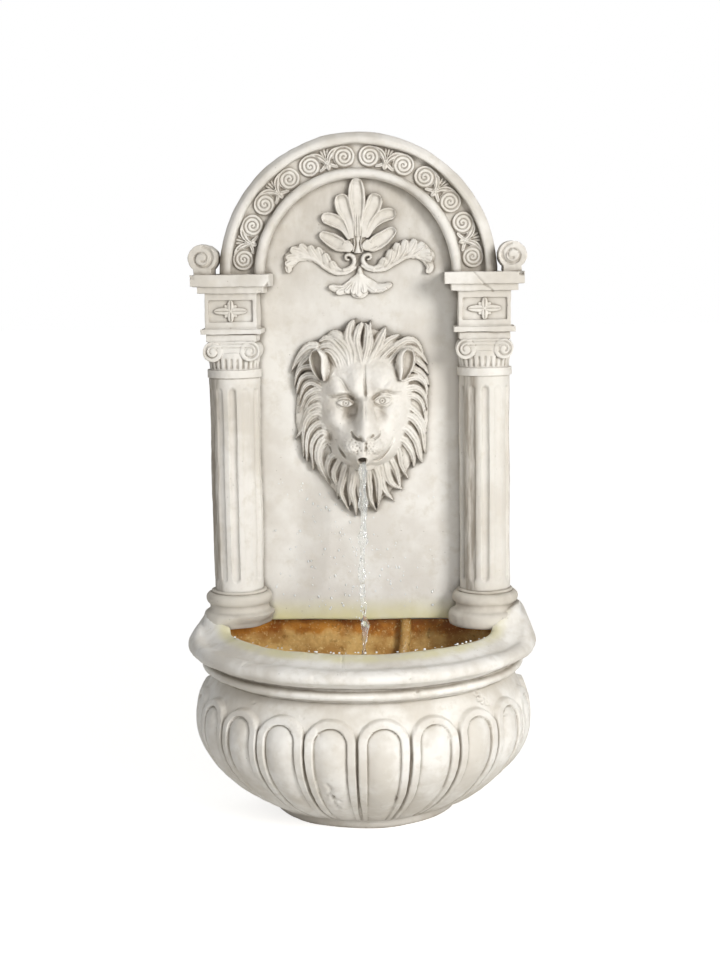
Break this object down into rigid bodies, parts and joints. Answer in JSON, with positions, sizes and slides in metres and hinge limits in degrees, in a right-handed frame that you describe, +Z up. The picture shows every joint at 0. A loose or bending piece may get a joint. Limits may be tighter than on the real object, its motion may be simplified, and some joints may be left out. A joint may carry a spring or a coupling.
{
  "type": "garden wall fountain",
  "caption": "Garden wall fountain: half-round gadrooned basin under a columned niche with a round arch and a lion mask that spouts water, fed by a hidden pump.",
  "frame": {"origin": "under the middle of the whole fountain, on the plane that its foot stands on", "axes": "+X to the right as seen from the front, +Y towards the wall, +Z up"},
  "size_m": [0.4, 0.25, 0.78],
  "materials": {
    "cast_stone": "aged ivory wash over cast stone, matte",
    "carved_relief": "carved cast stone with a grey wash in its recesses",
    "cover_board": "moulded board, fine grain",
    "galvanised_steel": "galvanised",
    "stainless_steel": "bright drawn",
    "copper_tube": "drawn copper, dulled by water",
    "brass_nut": "turned brass",
    "fitting_plastic": "moulded nylon",
    "clear_hose": "clear flexible hose",
    "pump_plastic": "moulded pump housing",
    "chamber_plastic": "moulded pump chamber",
    "dial_plastic": "moulded dial",
    "black_rubber": "moulded rubber",
    "core_steel": "stacked laminations",
    "copper_winding": "enamelled copper wire",
    "magnet_ferrite": "pressed ferrite with a moulded impeller",
    "shaft_ceramic": "ground ceramic"
  },
  "bodies": {
    "fountain": {"basin_bowl": "cast_stone", "niche_panel": "cast_stone", "arch_moulding": "cast_stone", "column_base_left": "cast_stone", "column_shaft_left": "cast_stone", "capital_left": "cast_stone", "entablature_left": "cast_stone", "frieze_star_left": "carved_relief", "corner_scroll_left": "carved_relief", "acanthus_scroll_left": "carved_relief", "hanger_plate_left": "galvanised_steel", "locating_dowel_left": "stainless_steel", "column_base_right": "cast_stone", "column_shaft_right": "cast_stone", "capital_right": "cast_stone", "entablature_right": "cast_stone", "frieze_star_right": "carved_relief", "corner_scroll_right": "carved_relief", "acanthus_scroll_right": "carved_relief", "hanger_plate_right": "galvanised_steel", "locating_dowel_right": "stainless_steel", "arch_ornament_1": "carved_relief", "arch_ornament_2": "carved_relief", "arch_ornament_3": "carved_relief", "arch_ornament_4": "carved_relief", "arch_ornament_5": "carved_relief", "arch_ornament_6": "carved_relief", "palmette_crest": "carved_relief", "pendant_leaf": "carved_relief", "lion_mask": "carved_relief", "rear_cover": "cover_board", "cover_screws": "stainless_steel", "cable_grommet": "black_rubber", "spout_tube": "copper_tube", "spout_locknut": "brass_nut", "spout_elbow": "fitting_plastic", "riser_hose": "clear_hose", "hose_clamps": "stainless_steel", "pump_body": "pump_plastic", "stator_core": "core_steel", "stator_coil": "copper_winding", "impeller_chamber": "chamber_plastic", "chamber_seal": "black_rubber", "pump_feet": "black_rubber", "rotor_shaft": "shaft_ceramic", "shaft_bushes": "black_rubber"},
    "pump_rotor": {"rotor": "magnet_ferrite"},
    "intake": {"intake_cover": "pump_plastic"},
    "dial": {"flow_dial": "dial_plastic"},
    "plug": {"drain_plug": "black_rubber"}
  },
  "joints": [
    {"name": "rotor_spin", "type": "hinge", "parent": "fountain", "child": "pump_rotor", "pos_m": [0.03, 0.075, 0.041], "axis": [0, -1, 0], "continuous": true},
    {"name": "intake_slide", "type": "slide", "parent": "fountain", "child": "intake", "axis": [0, -1, 0], "range_m": [0, 0.025]},
    {"name": "dial_turn", "type": "hinge", "parent": "fountain", "child": "dial", "pos_m": [0.048, 0.0685, 0.041], "axis": [1, 0, 0], "range_deg": [0, 90]},
    {"name": "plug_lift", "type": "slide", "parent": "fountain", "child": "plug", "axis": [0, 0, 1], "range_m": [0, 0.03]}
  ]
}
